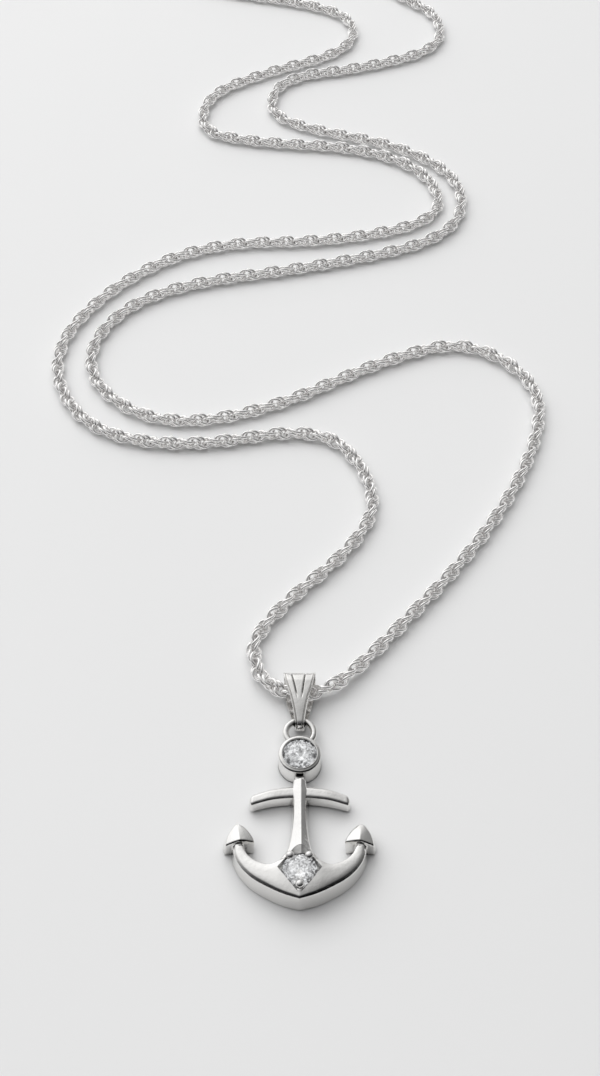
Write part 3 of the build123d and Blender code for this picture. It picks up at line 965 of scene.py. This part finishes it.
def bailPath():  # the strip's side view: two arcs and their tangents, as y, z and the outward direction
    top, foot = np.array(bail["top"]), np.array(bail["foot"])
    run = top - foot
    lean = math.asin((bail["topRadius"] - bail["footRadius"]) / np.linalg.norm(run))
    tilt = math.atan2(run[1], run[0])
    front = tilt + math.pi / 2 + lean
    back = tilt - math.pi / 2 - lean
    rows = []
    for centre, radius, start, end in (
        (top, bail["topRadius"], front, back), (foot, bail["footRadius"], back, front - 2 * math.pi),
    ):
        for angle in np.linspace(start, end, bail["arcSteps"]):
            out = np.array((math.cos(angle), math.sin(angle)))
            rows.append((*(centre + out * radius), *out))
    rows.append(rows[0])
    rows = np.array(rows)
    length = np.concatenate([[0], np.cumsum(np.linalg.norm(np.diff(rows[:, :2], axis=0), axis=1))])
    even = np.linspace(0, length[-1], bail["along"], endpoint=False)
    return np.stack([np.interp(even, length, rows[:, i]) for i in range(4)], 1)


def bailRing(y, z, outY, outZ):  # the strip's section: its outer face from left to right, and back inside
    front = mixed(outZ, *bail["facing"])
    backHalf, frontHalf = (np.interp(y, *np.transpose(bail[key])) for key in ("back", "front"))
    half = backHalf + (frontHalf - backHalf) * front
    lobes = front * mixed(y, *bail["grooveStart"])
    grooves = [np.interp(y, bail["grooveAt"], bail[key]) for key in ("leftGroove", "rightGroove")]
    rise = min(max((y - bail["bellyStart"]) / bail["bellyLength"], 0), 1)
    belly = front * bail["belly"] * math.sin(math.pi * rise) ** bail["bellyShape"]
    ear = bell(y - bail["earAt"], bail["earLength"]) * front
    thick = bail["thick"] / 2
    ring = []
    for i in range(bail["across"] + 1):
        share = 2 * i / bail["across"] - 1
        x = half * share
        edge = abs(x) - half
        lift = bail["dome"] * (1 - share**2) + belly
        lift -= lobes * bail["grooveDepth"] * sum(bell(x - groove, bail["grooveWidth"]) for groove in grooves)
        lift -= front * bail["lineDepth"] * bell(edge + bail["lineInset"], bail["lineWidth"])
        lift += bail["ear"] * bell(edge, bail["earWidth"]) * ear
        lift -= bail["brimDrop"] * mixed(abs(share), *bail["brim"])
        ring.append((x, y + outY * (thick + lift), z + outZ * (thick + lift)))
    for i in range(bail["acrossInside"] + 1):
        x = half * bail["inside"] * (1 - 2 * i / bail["acrossInside"])
        ring.append((x, y - outY * thick, z - outZ * thick))
    return ring


def makeBail():
    rings = [bailRing(*row) for row in bailPath()]
    parts = [skin(rings, closed=True), ballSkin(bail["bead"][:3], bail["bead"][3])]
    piece = newPiece("bail_strip", *joined(parts), castSilver)
    piece.data.set_sharp_from_angle(angle=math.radians(bail["crease"]))
    toMetres(piece)
    stand(piece, "polished_silver", "bail")
    print("bail made")


makeBail()

stones = {
    "bezel_stone": (0, 13.26, 2.62, 3.7),  # x, y, height of the table, diameter
    "crown_stone": (0, -0.08, 2.85, 3.5),
    "table": 0.56,  # the reach of the table and of the star facets, as shares of the radius
    "star": 0.78,
    "crown": 34.0,  # the slope from the table to the rim, in degrees
    "girdle": 0.035,  # the rim's thickness, as a share of the diameter
    "pavilion": ((0.70, 44.0), (0.36, 41.5), (0.0, 39.5)),  # radius share and slope of each tier, downwards
    "turn": 0.16,  # both stones sit a little turned in their settings
    "mains": 8,  # the facets round the table, and there are twice as many round the rim
    "paintedChipBand": (0.4, 0.85),  # the painted sparkle chips lie in between these shares of the radius
}


def stoneSkin(x, y, top, diameter):  # a round brilliant with two extra tiers of small facets underneath
    radius = diameter / 2
    fall = math.tan(math.radians(stones["crown"]))
    mains = stones["mains"]
    halves = 2 * mains

    def ring(share, z, count, shift):
        angles = [2 * math.pi * (i + shift) / count + stones["turn"] for i in range(count)]
        return [(x + radius * share * math.cos(a), y + radius * share * math.sin(a), z) for a in angles]

    edge = top - radius * (1 - stones["table"]) * fall
    star = top - radius * (stones["star"] * math.cos(math.pi / mains) - stones["table"]) * fall
    under = edge - diameter * stones["girdle"]
    rings = [ring(stones["table"], top, mains, 0), ring(stones["star"], star, mains, 0.5)]
    rings += [ring(1, edge, halves, 0), ring(1, under, halves, 0)]
    share = 1.0
    for i, (inner, slope) in enumerate(stones["pavilion"]):
        under -= radius * (share - inner) * math.tan(math.radians(slope))
        share = inner
        rings.append(ring(inner, under, halves, 0.5 if i % 2 == 0 else 0) if inner else ring(0, under, 1, 0))
    points = [p for row in rings for p in row]
    starts = np.cumsum([0] + [len(row) for row in rings])
    a, b, c, d, e, f, tip = (int(start) for start in starts[:7])
    faces = [tuple(range(mains))]
    for i in range(mains):
        j = (i + 1) % mains
        near, far = 2 * i, (2 * i + 2) % halves
        faces += [(a + i, b + i, a + j), (a + i, b + (i - 1) % mains, c + near, b + i)]
        faces += [(b + i, c + near, c + near + 1), (b + i, c + near + 1, c + far)]
    for i in range(halves):
        j = (i + 1) % halves
        faces.append((c + i, d + i, d + j, c + j))
        faces += [(d + i, e + i, d + j), (e + i, e + j, d + j), (e + i, f + j, e + j), (e + i, f + i, f + j)]
        faces.append((f + i, tip, f + j))
    return points, faces


def makeStone(node):
    x, y, top, diameter = stones[node]
    points, faces = stoneSkin(x, y, top, diameter)
    piece = newPiece(node + "_cut", points, faces, stoneClear)
    # the band near the rim that holds the painted sparkle chips
    rim = [mixed(2 * math.hypot(p[0] - x, p[1] - y) / diameter, *stones["paintedChipBand"]) for p in points]
    piece.data.attributes.new("rim", "FLOAT", "POINT").data.foreach_set("value", rim)
    piece.data.polygons.foreach_set("use_smooth", [False] * len(piece.data.polygons))
    toMetres(piece)
    stand(piece, "clear_stone", node)


makeStone("bezel_stone")
makeStone("crown_stone")
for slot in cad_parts["clasp"].material_slots:
    slot.material = castSilver
print("stones set")

board = {
    "half": 5000.0,
    "dark": "#D8D8D8",
    "light": "#DBDBDB",
    "cloud": 60.0,  # the size of its uneven patches
    "grain": 0.4,  # the size of its grain, drawn coarse enough to show, and how strong and how deep it is
    "bump": 0.1,
    "relief": 0.05,
    "roughness": 0.6,
}
corners = [(x * board["half"], y * board["half"], 0) for x, y in ((-1, -1), (1, -1), (1, 1), (-1, 1))]
floor = newPiece("floor", corners, [(0, 1, 2, 3)], paleBoard("board_matte_white", board))
toMetres(floor)

light = {
    "lean": (0, 0.894, 0.447),  # the tent is brightest behind the chain
    "low": -0.7,  # how far a direction goes along with it in the first and the last of the tones
    "high": 1.0,
    "tones": (  # from the dark side of the room to the lit side of the tent
        (0.0, "#181819"), (0.18, "#2C2C2D"), (0.3, "#545455"), (0.41, "#747475"), (0.5, "#8E8E8E"),
        (0.675, "#B8B8B8"), (0.8, "#D2D2D2"), (0.89, "#E2E2E2"), (0.96, "#FFFFFF"),
    ),
    "left": 1.6,  # its strength far to the left and far to the right
    "right": 0.38,
    "far": 0.6,  # and what counts as far, straight across being 1
    "softboxes": (  # place and size in metres, power in watts, and whether the stones catch it
        ((-0.28, 0.42, 0.60), 0.6, 1.2, False),
        ((-0.16, 0.28, 0.82), 1.5, 8.7, False),
        ((0.30, 0.30, 0.45), 0.08, 0.05, True),
    ),
    "aim": (0, 0.02, 0),  # what they all face, in metres
}
world = bpy.data.worlds.new("studio")
world.use_nodes = True
world.node_tree.nodes.clear()
direction = addNode(world, "TexCoord").outputs["Generated"]
lean = addNode(world, "VectorMath", {"operation": "DOT_PRODUCT", 1: light["lean"]}, {0: direction})
share = addNode(
    world, "MapRange", {"From Min": light["low"], "From Max": light["high"]}, {"Value": lean.outputs["Value"]}
)
hue = addNode(world, "ValToRGB", {}, {"Fac": share.outputs[0]})
ramp = hue.color_ramp.elements
for place, code in light["tones"]:
    stop = ramp[0] if place == 0 else ramp.new(place)
    stop.position = place
    stop.color = linear(code)
across = addNode(world, "SeparateXYZ", {}, {"Vector": direction})
strength = addNode(
    world, "MapRange",
    {"From Min": -light["far"], "From Max": light["far"], "To Min": light["left"], "To Max": light["right"]},
    {"Value": across.outputs["X"]},
)
tent = addNode(world, "Background", {}, {"Color": hue.outputs["Color"], "Strength": strength.outputs[0]})
addNode(world, "OutputWorld", {}, {"Surface": tent.outputs[0]})
scene.world = world
for i, (place, size, power, caught) in enumerate(light["softboxes"]):
    data = bpy.data.lights.new(f"softbox_{i}", "AREA")
    data.size = size
    data.energy = power
    lamp = bpy.data.objects.new(f"softbox_{i}", data)
    lamp.location = place
    lamp.rotation_euler = (Vector(light["aim"]) - Vector(place)).to_track_quat("-Z", "Y").to_euler()
    lamp.visible_glossy = False
    lamp.visible_transmission = caught
    scene.collection.objects.link(lamp)
scene.view_settings.view_transform = "Standard"
print("floor and lamps made")
